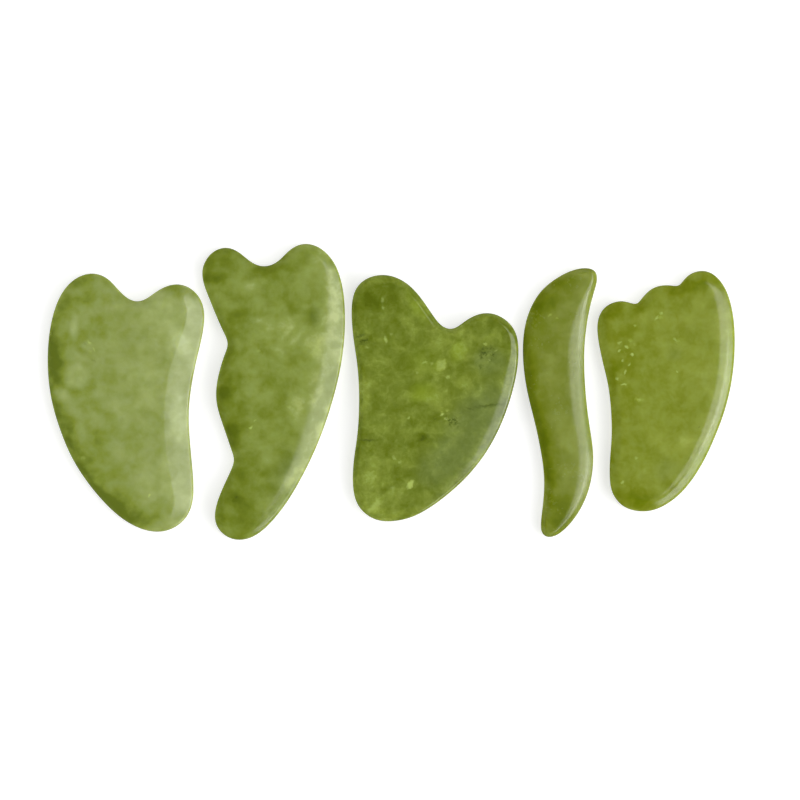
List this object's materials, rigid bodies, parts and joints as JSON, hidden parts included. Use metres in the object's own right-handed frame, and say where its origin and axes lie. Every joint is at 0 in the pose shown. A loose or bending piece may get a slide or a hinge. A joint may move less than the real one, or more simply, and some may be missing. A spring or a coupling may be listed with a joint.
{
  "type": "gua sha scraper set",
  "caption": "Set of flat polished jade gua sha scrapers, each a different curved outline with rounded bevelled edges, for scraping and pressing the face, neck and body.",
  "frame": {"origin": "under the middle of the row of scrapers, on the plane that they lie on", "axes": "+X along the row, +Y up each scraper towards its lobes, horns or toes, +Z up, out of the face that shows"},
  "size_m": [0.229, 0.0988, 0.006],
  "materials": {
    "mitten_jade": "polished, pale cloudy green",
    "wave_jade": "polished, cloudy mid green",
    "heart_jade": "polished, mottled dark green with veins",
    "leaf_jade": "polished, even mid green",
    "foot_jade": "polished, yellow green with pale flecks"
  },
  "bodies": {
    "heart": {"heart_scraper": "heart_jade"},
    "mitten": {"mitten_scraper": "mitten_jade"},
    "wave": {"wave_scraper": "wave_jade"},
    "leaf": {"leaf_scraper": "leaf_jade"},
    "foot": {"foot_scraper": "foot_jade"}
  },
  "joints": [
    {"name": "mitten_lift", "type": "slide", "parent": "heart", "child": "mitten", "axis": [0, 0, 1], "range_m": [0, 0.06]},
    {"name": "wave_lift", "type": "slide", "parent": "heart", "child": "wave", "axis": [0, 0, 1], "range_m": [0, 0.06]},
    {"name": "leaf_lift", "type": "slide", "parent": "heart", "child": "leaf", "axis": [0, 0, 1], "range_m": [0, 0.06]},
    {"name": "foot_lift", "type": "slide", "parent": "heart", "child": "foot", "axis": [0, 0, 1], "range_m": [0, 0.06]}
  ]
}
